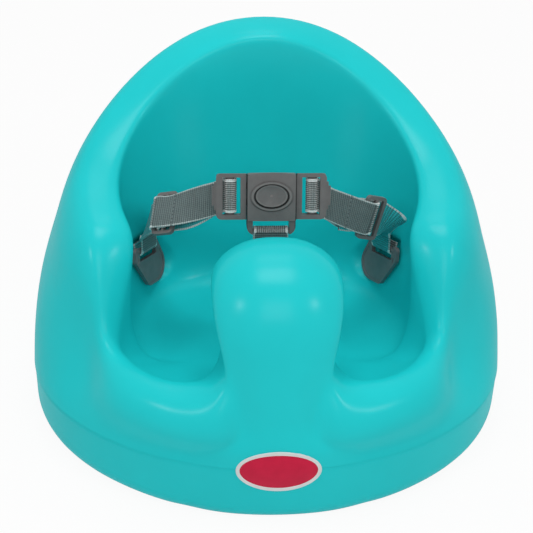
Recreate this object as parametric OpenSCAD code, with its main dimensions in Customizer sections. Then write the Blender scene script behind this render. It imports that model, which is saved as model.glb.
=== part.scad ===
// Baby floor seat: one moulded foam shell with a pommel, and a three-point harness.
// Millimetres, +Z up, the seat stands on z = 0, the sitter faces -Y.
// The shell is a bicubic spline surface lofted through stations that run round the
// rim, from the middle of the pommel at the front to the middle of the backrest.

/* [Seat shell] */
// Width of the spline net at the base
seat_w = 359; // [350:1:365]
// Depth of the spline net from the centre to the front
front_d = 168; // [164:1:172]
// Depth of the spline net from the centre to the back
back_d = 173.6; // [168:0.2:178]
// Height of the mould's parting line
parting_z = 34; // [30:1:38]
// Height of the sitting surface
sit_z = 46; // [42:1:50]
// Height of the backrest
back_h = 254; // [246:1:260]
// Height of the armrests
arm_h = 160; // [154:1:164]
// Height of the lips under the sitter's thighs
lip_h = 91; // [88:1:94]
// Radius of the foot's rounding
foot_r = 11; // [8:1:12]

/* [Pommel] */
// Height of the pommel
pommel_h = 171; // [168:1:172]
// Width of the pommel's head at the spline net
head_w = 108; // [104:1:110]
// Width of the pommel's neck at the spline net
neck_w = 66; // [64:1:70]

/* [Harness] */
// Width of the webbing
web_w = 25; // [24:0.5:26]
// Thickness of the webbing
web_t = 1.3; // [1.1:0.1:1.3]
// How far the buckle leans back
buckle_lean = 15; // [12:1:18]
// Distance from the left tongue's outer rail to its adjuster, along the strap
left_reach = 43; // [42:1:45]
// Distance from the right tongue's outer rail to its adjuster, along the strap
right_reach = 46; // [45:1:48]

/* [Buckle] */
// Width of the housing
case_w = 34.8; // [34.8:0.2:36]
// Height of the housing above the middle of the button
case_up = 17; // [17:0.1:18.5]
// Depth of the housing's closed part below the middle of the button
case_down = 18.2; // [17.8:0.1:18.6]
// Depth of the housing's legs below the middle of the button
leg_down = 29.5; // [29:0.1:30]
// Width of the release button
button_w = 23.3; // [22:0.1:24]
// Height of the release button
button_h = 16.5; // [16:0.1:17]

/* [Badge] */
// Width of the oval badge
badge_w = 59; // [56:1:60]
// Height of the oval badge
badge_h = 32; // [30:1:33]

/* [Hidden] */
foam = [0.14, 0.72, 0.73];
plastic = [0.38, 0.38, 0.38];
slate = [0.24, 0.33, 0.35];
webbing = [0.36, 0.47, 0.47];
steel = [0.75, 0.76, 0.78];
gap = 0.3;

// ---- spline helpers ----
function lerp(a, b, t) = a + (b - a) * t;
function unit(v) = v / norm(v);
// Weights of a uniform cubic B-spline at t within one span
function weights(t) = [pow(1 - t, 3), 3 * pow(t, 3) - 6 * t * t + 4,
                       -3 * pow(t, 3) + 3 * t * t + 3 * t + 1, pow(t, 3)] / 6;
function blend(a, b, c, d, t) = let(w = weights(t)) w[0] * a + w[1] * b + w[2] * c + w[3] * d;

// ---- seat shell ----
// Radius of the base outline at an angle from the front
function base_r(a) = 1 / norm([sin(a) / (seat_w / 2), cos(a) / (a < 90 ? front_d : back_d)]);

// Control polygons of the pommel, from its middle line outwards. Each runs from the
// parting line up the front face, over the head and down behind to the sitting surface.
hw = head_w / 2;
nw = neck_w / 2;
pz = pommel_h;
pommel_mid = [[0, -168, parting_z], [0, -168, 50], [0, -162, 72], [0, -153, 98], [0, -144, 126],
              [0, -135, pz - 19], [0, -112, pz + 2], [0, -82, pz + 7], [0, -56, pz - 2], [0, -54, 140],
              [0, -62, 112], [0, -68, 84], [0, -62, 56], [0, -36, sit_z], [0, 0, sit_z]];
pommel_face = [[20, -167, parting_z], [16, -167, 50], [12, -162, 72], [15, -153, 98], [22, -144, 126],
               [24, -133, pz - 21], [25, -112, pz + 1], [25, -82, pz + 5], [24, -56, pz - 4], [22, -54, 140],
               [19, -62, 112], [19, -68, 84], [16, -62, 56], [8, -36, sit_z], [0, 0, sit_z]];
pommel_edge = [[38, -164.5, parting_z], [30, -164, 50], [23, -157, 70], [27, -149, 96], [hw - 12, -134, 128],
               [hw - 4, -121, 140], [hw, -104, pz - 16], [hw, -82, pz - 17], [hw - 4, -64, pz - 27],
               [hw - 12, -66, 132], [32, -70, 112], [32, -70, 84], [26, -62, 56], [12, -36, sit_z], [0, 0, sit_z]];
pommel_neck = [[54, -160, parting_z], [46, -160, 47], [33, -164, 60], [31, -156, 84], [nw, -144, 101],
               [nw, -132, 115], [nw - 1, -116, 121], [nw - 1, -98, 121], [nw, -84, 113], [nw + 1, -80, 98],
               [nw + 3, -78, 80], [34, -70, 66], [28, -52, 52], [14, -30, sit_z], [0, 0, sit_z]];
pommel_foot = [[66, -155, parting_z], [60, -151, 46], [55, -170, 56], [53, -167, 78], [48, -154, 89],
               [44, -142, lip_h], [41, -128, lip_h], [42, -118, 88], [43, -112, 82], [43, -104, 76],
               [42, -90, 68], [38, -70, 60], [30, -46, 51], [14, -22, sit_z], [0, 0, sit_z]];

// Stations round the rim: angle from the front, radius and height of the rim's crest,
// its half widths out and in, how far its outer and inner rounding drop, the bulge of the
// wall outside and inside, the inner wall's foot radius and height, and the thigh roll's
// weight and the height of the tuck under it.
stations = [
    [27, 148, lip_h, 16, 13, 10, 12, 2, 0, 46, 52, 1.0, 47],
    [35, 152, lip_h, 17, 13, 10, 12, 2, 0, 50, 52, 1.0, 47],
    [44, 151, lip_h, 16, 13, 11, 12, 0, 0, 58, 52, 1.0, 48],
    [51, 146, lip_h, 12, 12, 12, 12, -7, 0, 71, 52, 0.15, 50],
    [57, 142, lip_h - 1, 9, 9, 14, 12, -9, 0, 86, 52, 0, 62],
    [63, 130, arm_h - 33, 15, 13, 24, 14, -11, 2, 100, 52, 0, 62],
    [72, 121, arm_h + 1, 32, 22, 38, 16, 0, 8, 103, 52, 0, 64],
    [86, 128, arm_h + 3, 30, 20, 30, 10, 3, 4, 103, 50, 0, 64],
    [108, 138, lerp(arm_h, back_h, 0.2), 20, 20, 18, 10, 5, 2, 98, 50, 0, 64],
    [132, 137, lerp(arm_h, back_h, 0.55), 16, 20, 14, 9, 6, 0, 88, 50, 0, 64],
    [156, 134, lerp(arm_h, back_h, 0.86), 15, 25, 12, 9, 6, 0, 76, 50, 0, 64],
    [180, 124, back_h, 14, 25, 12, 9, 6, 0, 72, 50, 0, 64]];

// Control polygon of one station, as radius and height
function station_profile(s) =
    let(base = base_r(s[0]), crest = s[1], h = s[2], out = crest + s[3], in = crest - s[4],
        out_drop = s[5], in_drop = s[6], bulge = s[7], belly = s[8], foot = s[9], foot_z = s[10],
        roll = s[11], tuck = s[12], top = h - out_drop, inner_top = h - 1.3 * in_drop,
        plain = [[lerp(base, out, 0.1) + 0.4 * bulge, lerp(parting_z, top, 0.28)],
                 [lerp(base, out, 0.4) + bulge, lerp(parting_z, top, 0.58)],
                 [lerp(base, out, 0.8) + 0.5 * bulge, lerp(parting_z, top, 0.85)]],
        rolled = [[base - 4, tuck], [base + 3, tuck + 11], [base + 2, tuck + 28]])
    concat([[base, parting_z]],
           [for (i = [0:2]) lerp(plain[i], rolled[i], roll)],
           [[out, h - 0.7 * out_drop], [crest + 0.55 * s[3], h], [crest, h + 0.5],
            [in + 0.45 * s[4], h - 0.1 * in_drop], [in, h - 0.45 * in_drop], [in - 0.5 + belly / 2, inner_top],
            [lerp(in, foot, 0.35) + belly, lerp(inner_top, foot_z, 0.45)],
            [lerp(in, foot, 0.78) + belly, lerp(inner_top, foot_z, 0.88)],
            [foot, foot_z - 1], [0.55 * foot, sit_z], [0, sit_z]]);

function station_points(s) = [for (q = station_profile(s)) [q[0] * sin(s[0]), -q[0] * cos(s[0]), q[1]]];
function mirrored(points) = [for (p = points) [-p[0], p[1], p[2]]];
half_net = concat([pommel_mid, pommel_face, pommel_edge, pommel_neck, pommel_foot],
                  [for (s = stations) station_points(s)]);
last = len(half_net) - 1;
net = concat(half_net, [for (i = [last - 1:-1:1]) mirrored(half_net[i])]);

// Cuts per span of a station's curve, and per span from station to station
span_cuts = [2, 2, 2, 2, 3, 3, 3, 3, 2, 2, 2, 2, 2, 1];
ring_cuts = 3;
function station_curve(row) =
    let(n = len(row), v = concat([2 * row[0] - row[1]], row, [2 * row[n - 1] - row[n - 2]]))
    concat([for (j = [0:n - 2]) for (k = [0:span_cuts[j] - 1])
                blend(v[j], v[j + 1], v[j + 2], v[j + 3], k / span_cuts[j])],
           [row[n - 1]]);
curves = [for (row = net) station_curve(row)];
rings = len(curves);
upper = [for (i = [0:rings - 1]) for (k = [0:ring_cuts - 1])
            [for (j = [0:len(curves[0]) - 1])
                blend(curves[(i + rings - 1) % rings][j], curves[i][j],
                      curves[(i + 1) % rings][j], curves[(i + 2) % rings][j], k / ring_cuts)]];

// Below the parting line the outline only steps in: inset and height of each line
foot_steps = [[60, 0], [foot_r, 0], [foot_r / 2, 1.6], [foot_r / 4, 5], [1.4, 12], [0.8, 22],
              [0.4, parting_z - 1.6], [0.9, parting_z - 0.7]];
function inset(p, d, z) = let(r = norm([p[0], p[1]])) [p[0] * (1 - d / r), p[1] * (1 - d / r), z];
sections = [for (u = upper)
                concat([for (s = foot_steps) inset(u[0], s[0], s[1])],
                       [for (j = [0:len(u) - 2]) u[j]])];
around = len(sections);
along = len(sections[0]);
shell_points = concat([[0, 0, 0]], [for (s = sections) each s], [[0, 0, sit_z]]);
function shell_id(i, j) = 1 + (i % around) * along + j;
shell_top = len(shell_points) - 1;
shell_faces = concat(
    [for (i = [0:around - 1]) [0, shell_id(i, 0), shell_id(i + 1, 0)]],
    [for (i = [0:around - 1]) for (j = [0:along - 2])
        each [[shell_id(i, j), shell_id(i, j + 1), shell_id(i + 1, j + 1)],
              [shell_id(i, j), shell_id(i + 1, j + 1), shell_id(i + 1, j)]]],
    [for (i = [0:around - 1]) [shell_id(i, along - 1), shell_top, shell_id(i + 1, along - 1)]]);

// The crotch strap passes down a slot to a rod held in a pocket of the underside
crotch_y = -42;
slot_w = 2 * web_t + 4.2;
rod_d = 5;
rod_len = 40;
rod_pocket = 9.2;
rod_z = rod_pocket - rod_d / 2;
pocket_d = 16;

module seat_shell() {
    color(foam)
    difference() {
        polyhedron(shell_points, shell_faces, convexity = 10);
        translate([0, crotch_y, sit_z / 2])
            cube([web_w + 2, slot_w, sit_z + 20], center = true);
        translate([0, crotch_y, 0])
            cube([rod_len + 2, pocket_d, 2 * rod_pocket], center = true);
        for (side = [0, 1])
            mirror([side, 0, 0])
                at_anchor() anchor_pocket();
        at_badge() badge_pocket();
    }
}

// ---- oval badge on the front, left blank ----
badge_z = 45;
badge_lean = 3.5;
badge_sink = 1.2;
badge_curve = 190;
badge_rim = 2.6;

module at_badge() {
    translate([0, 1.1 - front_d, badge_z])
        rotate([90 - badge_lean, 0, 0])
            children();
}

module oval(w, h, t) {
    scale([1, h / w, 1])
        linear_extrude(t)
            circle(d = w, $fn = 72);
}

// Part of an oval bar between two cylinders that follow the seat's front
module curved_oval(w, h, low, high) {
    intersection() {
        linear_extrude(20, center = true)
            scale([1, h / w])
                circle(d = w, $fn = 64);
        translate([0, 0, -badge_curve])
            rotate([90, 0, 0])
                difference() {
                    cylinder(r = badge_curve + high, h = 60, center = true, $fn = 180);
                    cylinder(r = badge_curve + low, h = 61, center = true, $fn = 180);
                }
    }
}

module badge_pocket() { curved_oval(badge_w + gap, badge_h + gap, -badge_sink, 9); }

module badge_bezel() {
    color("white")
    at_badge()
        difference() {
            curved_oval(badge_w, badge_h, -badge_sink, 1.1);
            curved_oval(badge_w - 2 * badge_rim, badge_h - 2 * badge_rim, 0.1, 9);
        }
}

module badge_plate() {
    color([0.8, 0.14, 0.3])
    at_badge()
        curved_oval(badge_w - 2 * badge_rim - 0.1, badge_h - 2 * badge_rim - 0.1, 0.1, 0.9);
}

// ---- harness anchor plates, set into the sides of the bowl ----
anchor_r = 101;
anchor_angle = 114.4;
anchor_z = 96;
anchor_tilt = 11;
anchor_roll = 12.8;
plate_t = 3.4;
strut_d = 4.2;
slot_h = 5.6;
stem_d = 9;
stem_len = 12;
stem_at = [10, -18];

// Right-hand side: x runs along the slot, z points out into the foam
module at_anchor() {
    rotate([0, 0, anchor_angle - 90])
        translate([anchor_r, 0, anchor_z])
            rotate([90 + anchor_tilt, 0, 90])
                rotate([0, 0, -anchor_roll])
                    children();
}

// Centre and radius of each rounding of the plate's outline
plate_rounds = [[-16.2, -0.2, 3.2], [-15.6, -6.5, 3.8], [14.5, -0.2, 3.2], [13, -17.3, 13.2], [1, -25.5, 5]];
module plate_outline(grow) {
    hull()
        for (c = plate_rounds)
            translate([c[0], c[1]]) circle(r = c[2] + grow, $fn = 32);
}

// Opening above and below the strut, where the webbing passes
module plate_slot(grow) {
    translate([-web_w / 2 - 0.8 - grow, -strut_d / 2 - slot_h - grow])
        square([web_w + 1.6 + 2 * grow, 30]);
}

module anchor_stem(clear) {
    translate([stem_at[0], stem_at[1], 0])
        rotate_extrude($fn = 48)
            polygon([[0, 0], [stem_d / 2 + clear, 0], [stem_d / 2 + clear, stem_len - 3],
                     [stem_d / 2 + 3 + clear, stem_len - 3], [stem_d / 2 + 3 + clear, stem_len],
                     [stem_d / 2 + clear, stem_len + 2 + clear], [0, stem_len + 2 + clear]]);
}

module anchor_pocket() {
    translate([0, 0, -12])
        linear_extrude(12.05 + plate_t / 2)
            plate_outline(0.6);
    translate([0, -1, 0])
        cube([web_w + 5, 17, 15], center = true);
    anchor_stem(0.05);
}

module anchor_plate() {
    color(slate)
    at_anchor()
        union() {
            difference() {
                translate([0, 0, -plate_t / 2])
                    linear_extrude(plate_t)
                        difference() {
                            plate_outline(0);
                            plate_slot(0);
                        }
                // shallow dish that leaves a bead round the plate's edge
                translate([0, 0, -plate_t / 2 - 1])
                    linear_extrude(1.5)
                        difference() {
                            plate_outline(-2);
                            plate_slot(2);
                            translate([-30, -5]) square([60, 30]);
                        }
            }
            translate([-16, 0, 0])
                rotate([0, 90, 0])
                    cylinder(d = strut_d, h = 33, $fn = 32);
            anchor_stem(0);
        }
}

module left_anchor_plate() { mirror([1, 0, 0]) anchor_plate(); }
module right_anchor_plate() { anchor_plate(); }

module crotch_strap_rod() {
    color(steel)
    translate([-rod_len / 2, crotch_y, rod_z])
        rotate([0, 90, 0])
            cylinder(d = rod_d, h = rod_len, $fn = 32);
}

// ---- buckle frame: x across, y up along the buckle, z out of its face ----
buckle_at = [-1.2, -24.3, 181.1];
function buckle(p) = buckle_at + p[0] * [1, 0, 0]
                     + p[1] * [0, sin(buckle_lean), cos(buckle_lean)]
                     + p[2] * [0, -cos(buckle_lean), sin(buckle_lean)];
buckle_up = [0, sin(buckle_lean), cos(buckle_lean)];

module at_buckle() {
    translate(buckle_at)
        rotate([90 - buckle_lean, 0, 0])
            children();
}

face_z = 7.5;
back_z = -6.2;
wall = 1.8;
leg_t = 4.4;
leg_r = 6.5;
bar_y = -27.4;
bar_d = 4;
hollow_top = 10.8;

// Roundings of the housing's slightly domed top, as share of the half width and drop
top_rounds = [[-1, 3], [-0.55, 2.3], [0, 2], [0.55, 2.3], [1, 3]];

// Room above a top that slopes down to the back, so that it can't be seen from in front
draft = 18;
module above_slope(top, front) {
    translate([-50, top, front])
        rotate([-draft, 0, 0])
            translate([0, 0, -30]) cube([100, 20, 60]);
}

module case_outline() {
    difference() {
        hull() {
            for (q = top_rounds)
                translate([q[0] * (case_w / 2 - 2), case_up - q[1]]) circle(r = 2, $fn = 32);
            translate([-case_w / 2, -case_down - 1]) square([case_w, 1]);
            translate([-case_w / 2 + leg_r, -leg_down + leg_r]) circle(r = leg_r, $fn = 48);
            translate([case_w / 2 - leg_r, -leg_down + leg_r]) circle(r = leg_r, $fn = 48);
        }
        translate([-web_w / 2 - 0.5, -leg_down - 1])
            square([web_w + 1, leg_down + 1 - case_down]);
    }
}

// Slots in the housing's sides for the tongues' prongs
prong_y = [4, 8.2];
prong_t = 2.6;
module prong_gate() {
    cube([case_w + 2, 2 * (prong_y[1] + 0.5), prong_t + 0.8], center = true);
}

// Bar between the legs, for the crotch strap
module leg_bar(clear) {
    translate([-web_w / 2 - 1 - clear, bar_y, 0])
        rotate([0, 90, 0])
            cylinder(d = bar_d + 2 * clear, h = web_w + 2 + 2 * clear, $fn = 32);
}

module case_hollow(low, high) {
    translate([-case_w / 2 + wall, -case_down + wall, low])
        cube([case_w - 2 * wall, hollow_top + case_down - wall, high - low]);
}

surround_w = 29;
surround_h = 21.2;
module buckle_front_shell() {
    color(plastic)
    at_buckle()
        difference() {
            union() {
                linear_extrude(leg_t) case_outline();
                linear_extrude(face_z)
                    intersection() {
                        case_outline();
                        translate([-case_w, -case_down]) square([2 * case_w, case_up + case_down]);
                    }
                oval(surround_w, surround_h, face_z + 0.9);
            }
            case_hollow(-1, face_z - wall);
            above_slope(case_up, face_z - 1.2);
            translate([0, 0, 1]) oval(button_w + 1, button_h + 1, face_z + 3);
            prong_gate();
            leg_bar(0.05);
        }
}

module buckle_back_shell() {
    color(plastic)
    at_buckle()
        union() {
            difference() {
                union() {
                    translate([0, 0, -leg_t]) linear_extrude(leg_t) case_outline();
                    translate([0, 0, back_z])
                        linear_extrude(-back_z)
                            intersection() {
                                case_outline();
                                translate([-case_w, -case_down]) square([2 * case_w, case_up + case_down]);
                            }
                }
                case_hollow(back_z + 1.6, 1);
                above_slope(case_up, face_z - 1.2);
                prong_gate();
            }
            leg_bar(0);
            // post that centres the button's spring
            translate([0, 0, back_z + 1]) cylinder(d = 3.4, h = 2.6, $fn = 32);
        }
}

flange_z = 4.3;
flange_t = 1.1;
boss_d = 8.4;
bore_d = 6.2;
module release_button() {
    color(plastic)
    at_buckle()
        difference() {
            union() {
                translate([0, 0, flange_z]) oval(26.4, 19.6, flange_t);
                translate([0, 0, flange_z]) oval(button_w, button_h, face_z + 0.5 - flange_z);
                translate([0, 0, -1.4]) cylinder(d = boss_d, h = flange_z + 2, $fn = 48);
                // cam rib that spreads the prongs of both tongues
                translate([-13, -2.4, -1.4]) cube([26, 4.8, flange_z + 2]);
            }
            translate([0, 0, -2]) cylinder(d = bore_d, h = 5.6, $fn = 48);
            // dished face inside a raised rim
            translate([0, 0, face_z]) oval(button_w - 3.8, button_h - 3, 2);
            translate([0, 0, face_z + 54.3]) sphere(r = 55, $fn = 96);
        }
}

// Five turns of wire between the back shell and the button's bore
spring_r = 2.5;
wire_r = 0.25;
spring_low = back_z + 1.6 + wire_r;
spring_high = 3.6 - wire_r;
spring_turns = 5;
spring_steps = 10;
function spring_centre(i) = let(a = 360 * i / spring_steps)
    [spring_r * cos(a), spring_r * sin(a),
     lerp(spring_low, spring_high, i / (spring_turns * spring_steps))];
function spring_ring(i) = let(a = 360 * i / spring_steps, c = spring_centre(i))
    [for (k = [0:5]) c + wire_r * (cos(60 * k) * [cos(a), sin(a), 0] - sin(60 * k) * [0, 0, 1])];
// Tube through rings of points, closed at both ends. The side named by turned is split
// along its other diagonal, so that the two faces of a twisted strip stay apart.
module tube(all_rings, turned = -1) {
    n = len(all_rings);
    m = len(all_rings[0]);
    polyhedron([for (r = all_rings) each r],
        concat([[for (k = [0:m - 1]) k]],
               [for (i = [0:n - 2]) for (k = [0:m - 1])
                   let(a = i * m + k, b = i * m + (k + 1) % m, c = a + m, d = b + m)
                   each (k == turned ? [[a, c, b], [c, d, b]] : [[a, c, d], [a, d, b]])],
               [[for (k = [m - 1:-1:0]) (n - 1) * m + k]]),
        convexity = 10);
}

module button_spring() {
    color(steel)
    at_buckle()
        tube([for (i = [0:spring_turns * spring_steps]) spring_ring(i)]);
}

// ---- tongues: a two-prong plug and a frame with a bar for the webbing ----
tongue_in = case_w / 2 + gap;
tongue_out = 39.2;
tongue_y = [-18, 15.7];
tongue_z = [-1.6, 4];
window_x = [21.8, 34.6];
window_y = [-14.8, 12.8];
tongue_bar_x = 29.3;
tongue_bar_w = 6.4;
tongue_bar_t = 4.4;

module tongue_frame_outline() {
    hull() {
        translate([tongue_in, tongue_y[0]]) square([1, tongue_y[1] - tongue_y[0]]);
        translate([tongue_out - 4, tongue_y[0] + 4]) circle(r = 4, $fn = 32);
        translate([tongue_out - 4, tongue_y[1] - 4]) circle(r = 4, $fn = 32);
    }
}

module tongue() {
    color(plastic)
        union() {
            difference() {
                translate([0, 0, tongue_z[0]])
                    linear_extrude(tongue_z[1] - tongue_z[0]) tongue_frame_outline();
                above_slope(tongue_y[1], tongue_z[1] - 0.8);
                translate([window_x[0], window_y[0], -10])
                    cube([window_x[1] - window_x[0], window_y[1] - window_y[0], 20]);
                // relief behind the outer rail, where both layers of webbing leave
                translate([window_x[1] - 1, tongue_y[0] - 1, -10])
                    cube([10, window_y[1] - tongue_y[0] + 1, 11]);
            }
            translate([tongue_bar_x, window_y[1] + 1, 0])
                scale([tongue_bar_w / tongue_bar_t, 1, 1])
                    rotate([90, 0, 0])
                        cylinder(d = tongue_bar_t, h = window_y[1] - window_y[0] + 2, $fn = 48);
            // stepped grip on the outer rail
            translate([tongue_out - 1, -11, 1]) cube([2.4, 20, 2.2]);
            translate([tongue_out, -8, 1]) cube([3, 14, 1.4]);
            for (s = [-1, 1])
                scale([1, s, 1])
                    translate([0, prong_y[0], -prong_t / 2])
                        linear_extrude(prong_t)
                            polygon([[tongue_in + 1, 0], [tongue_in + 1, 4.2], [8.5, 4.2],
                                     [5.6, 2.6], [5.6, 0.9], [6.6, 0]]);
        }
}

module left_tongue() { at_buckle() mirror([1, 0, 0]) tongue(); }
module right_tongue() { at_buckle() tongue(); }

// ---- strap frames: where the strap leaves its tongue, then the directions out along
// the strap, across it and off its face ----
function strap_frame(start, dir, wide, side) =
    let(d = unit(dir), w = unit(wide - (wide * d) * d)) [start, d, w, side * cross(d, w)];
left_frame = strap_frame([-39.3, -21.8, 173.2], [-0.858, 0.315, -0.406], [0.05, 0.83, 0.55], -1);
right_frame = strap_frame([36.9, -22.4, 171.8], [0.801, 0.359, -0.477], [0.37, 0.32, 0.87], 1);
function on_strap(f, d, m) = f[0] + d * f[1] + m * f[3];

adjuster_l = 17.4;
adjuster_h = 33;
adjuster_t = 3.2;
adjuster_slot = 4.6;
adjuster_bar_d = 3.4;
adjuster_skew = 6.7;
// The adjuster's own frame, at its middle and turned a little on the strap
function adjuster_frame(f, reach) =
    let(c = cos(adjuster_skew), s = sin(adjuster_skew))
    [on_strap(f, reach, 0), c * f[1] + s * f[2], c * f[2] - s * f[1], f[3]];
left_slide = adjuster_frame(left_frame, left_reach);
right_slide = adjuster_frame(right_frame, right_reach);

module adjuster(f) {
    m = cross(f[1], f[2]);
    color(plastic)
    multmatrix([[f[1][0], f[2][0], m[0], f[0][0]],
                [f[1][1], f[2][1], m[1], f[0][1]],
                [f[1][2], f[2][2], m[2], f[0][2]]])
        union() {
            translate([0, 0, -adjuster_t / 2])
                linear_extrude(adjuster_t)
                    difference() {
                        hull()
                            for (x = [-1, 1]) for (y = [-1, 1])
                                translate([x * (adjuster_l / 2 - 3), y * (adjuster_h / 2 - 3)])
                                    circle(r = 3, $fn = 32);
                        square([adjuster_bar_d + 2 * adjuster_slot, web_w + 2.8], center = true);
                    }
            rotate([90, 0, 0])
                cylinder(d = adjuster_bar_d, h = web_w + 5, center = true, $fn = 32);
        }
}

module left_adjuster() { adjuster(left_slide); }
module right_adjuster() { adjuster(right_slide); }

// ---- webbing: a strip swept along points, each with the direction across the strip,
// which is longer than 1 where the strip is folded on the slant ----
function tangent(path, i) =
    unit(path[min(i + 1, len(path) - 1)][0] - path[max(i - 1, 0)][0]);
function strip_ring(path, i) =
    let(t = tangent(path, i), w = path[i][1], n = unit(cross(t, w)),
        p = path[i][0], a = web_w / 2, b = web_t / 2)
    [p - a * w - b * n, p + a * w - b * n, p + a * w + b * n, p - a * w + b * n];

module strip(path) {
    color(webbing)
        tube([for (i = [0:len(path) - 1]) strip_ring(path, i)], 2);
}

// Points of a turn round a bar, in the plane across it
function turn(c, r, from, to, steps) =
    [for (i = [0:steps]) let(a = lerp(from, to, i / steps)) c + r * [cos(a), sin(a)]];

// Turn round the tongue's bar: distance from the buckle's middle, height off its plane, and
// the share of the drop to where the strap leaves
tongue_turn = concat([[38.6, -2, 0.8], [36, -1.6, 0.4]],
    [for (i = [0:6]) let(a = lerp(10, 270, i / 6))
        [tongue_bar_x + (tongue_bar_w / 2 + web_t / 2 + gap) * cos(a),
         (tongue_bar_t / 2 + web_t / 2 + gap) * sin(a), 0]],
    [[34, -3.5, 0.15], [38, -4.4, 0.7]]);
web_y = (window_y[0] + window_y[1]) / 2;
function tongue_path(side, drop) =
    [for (q = tongue_turn) [buckle([side * q[0], web_y - drop * q[2], q[1]]), buckle_up]];

// Sewn turn round the right adjuster's middle bar, along and off the strap
bar_loop = adjuster_bar_d / 2 + web_t / 2 + gap;
right_sewn = concat([[-27, 1.25], [-17, 0.9], [-12.6, -1.2], [-9, -bar_loop]],
                    turn([0, 0], bar_loop, -90, 90, 4), [[-9, bar_loop]]);
// Sewn turn round the left adjuster's far rail
left_sewn = [[-3.5, 2.7], [1.5, 2.65], [4, 1.6], [4.5, 0], [5.3, -2], [7.5, -2.95], [9.6, -2.1],
             [10.4, 0], [9.9, 2.3], [7.8, 3.9], [4, 4.15], [-8, 4.1]];
// Turn round the anchor plate's strut, above the slot and off the plate
strut_turn = concat([[13, -3.9], [7, -3.5]], turn([0, 0], strut_d / 2 + web_t / 2 + 0.3, 270, 90, 4), [[6, 3.4]]);

anchor_out = [sin(anchor_angle), -cos(anchor_angle), 0];
anchor_back = [cos(anchor_angle), sin(anchor_angle), 0];
anchor_up = cos(anchor_tilt) * [0, 0, 1] + sin(anchor_tilt) * anchor_out;
anchor_face = cos(anchor_tilt) * anchor_out - sin(anchor_tilt) * [0, 0, 1];
strut_dir = cos(anchor_roll) * anchor_back - sin(anchor_roll) * anchor_up;
strut_up = cos(anchor_roll) * anchor_up + sin(anchor_roll) * anchor_back;
strut_at = anchor_r * anchor_out + [0, 0, anchor_z];
function on_anchor(q) = strut_at + q[0] * strut_up + q[1] * anchor_face;

// The adjustable layer passes behind the adjuster at this height
back_m = -4.6;
function strap_layer(f, points) = [for (q = points) [on_strap(f, q[0], q[1]), f[2]]];
function mirrored_path(path) = [for (q = path) [mirror_x(q[0]), mirror_x(q[1])]];
function mirror_x(p) = [-p[0], p[1], p[2]];
strut_path = [for (q = strut_turn) [on_anchor(q), strut_dir]];

right_path = concat(
    strap_layer(right_slide, right_sewn),
    tongue_path(1, 7.8),
    strap_layer(right_slide, [[-22, -3], [-9, back_m], [9, back_m]]),
    // folded on the slant beside the adjuster, then down to the plate
    [[[85.5, 3.2, 141], [0.5, 0.2, 0.84]], [[92, 5.5, 136], [0.76, -0.06, 0.56]],
     [[90.5, 15, 130], [0.84, -0.4, 0.46]], [[88.5, 25, 123], [0.76, -0.56, 0.4]],
     [[88.8, 36, 116], [0.62, -0.76, 0.3]]],
    [for (q = strut_path) [q[0], -q[1]]]);
left_path = concat(
    strap_layer(left_slide, left_sewn),
    tongue_path(-1, 3.6),
    strap_layer(left_slide, [[-22, -2.5], [-9, back_m], [9, back_m]]),
    [[[-87, 8, 141], [0.15, 0.77, 0.62]], [[-89.5, 22, 130], [0.25, 0.7, 0.67]],
     [[-90.5, 36, 117.5], [0.4, 0.75, 0.52]]],
    mirrored_path(strut_path));

module left_waist_strap() { strip(left_path); }
module right_waist_strap() { strip(right_path); }

// Turn round the housing's bar, as height and distance off the bar
bar_turn = concat([[-28, -3.4], [-12, -3.2]], turn([0, 0], bar_d / 2 + web_t / 2 + 0.35, -90, 90, 4),
                  [[-5, 1.2], [-12, -1.7]]);
// Turn round the rod, as distance from the front and height
rod_turn = turn([crotch_y, rod_z], rod_d / 2 + web_t / 2 + 0.25, 20, -200, 7);
crotch_path = concat(
    [for (q = bar_turn) [buckle([0, bar_y + q[0], q[1]]), [1, 0, 0]]],
    [[[-1.3, -36.5, 128], [1, 0, 0]], [[-0.7, -36, 108], [1, 0, 0]], [[-0.2, -36, 88], [1, 0, 0]]],
    [for (q = concat([[-39, 70], [-40.5, 56], [-40.5, 30], [-40.5, 12]], rod_turn, [[-43.5, 12], [-43.5, 36]]))
        [[0, q[0], q[1]], [1, 0, 0]]]);

module crotch_strap() { strip(crotch_path); }

seat_shell();
badge_bezel();
badge_plate();
left_anchor_plate();
right_anchor_plate();
crotch_strap_rod();
left_waist_strap();
right_waist_strap();
crotch_strap();
left_adjuster();
right_adjuster();
buckle_front_shell();
buckle_back_shell();
release_button();
button_spring();
left_tongue();
right_tongue();
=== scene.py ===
import math
from collections import namedtuple

import bmesh
import bpy
import numpy as np
from mathutils import Matrix, Vector


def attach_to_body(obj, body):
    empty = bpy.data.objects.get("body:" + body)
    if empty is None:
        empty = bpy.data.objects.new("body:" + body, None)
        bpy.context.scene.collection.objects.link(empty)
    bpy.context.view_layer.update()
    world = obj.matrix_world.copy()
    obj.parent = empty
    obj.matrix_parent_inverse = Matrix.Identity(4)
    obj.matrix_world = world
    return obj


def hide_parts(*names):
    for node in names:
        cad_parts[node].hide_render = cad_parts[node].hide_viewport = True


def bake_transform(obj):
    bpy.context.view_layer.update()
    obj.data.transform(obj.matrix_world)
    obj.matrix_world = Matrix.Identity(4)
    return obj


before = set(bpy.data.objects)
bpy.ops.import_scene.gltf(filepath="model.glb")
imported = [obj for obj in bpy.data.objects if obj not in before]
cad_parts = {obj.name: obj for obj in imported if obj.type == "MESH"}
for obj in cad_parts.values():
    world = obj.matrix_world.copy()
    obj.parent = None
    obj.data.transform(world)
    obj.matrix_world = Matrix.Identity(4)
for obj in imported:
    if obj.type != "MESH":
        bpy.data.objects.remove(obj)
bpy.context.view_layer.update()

# Lengths in this script are millimetres until a mesh is made, as in the part's source.
MM = 0.001


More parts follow.
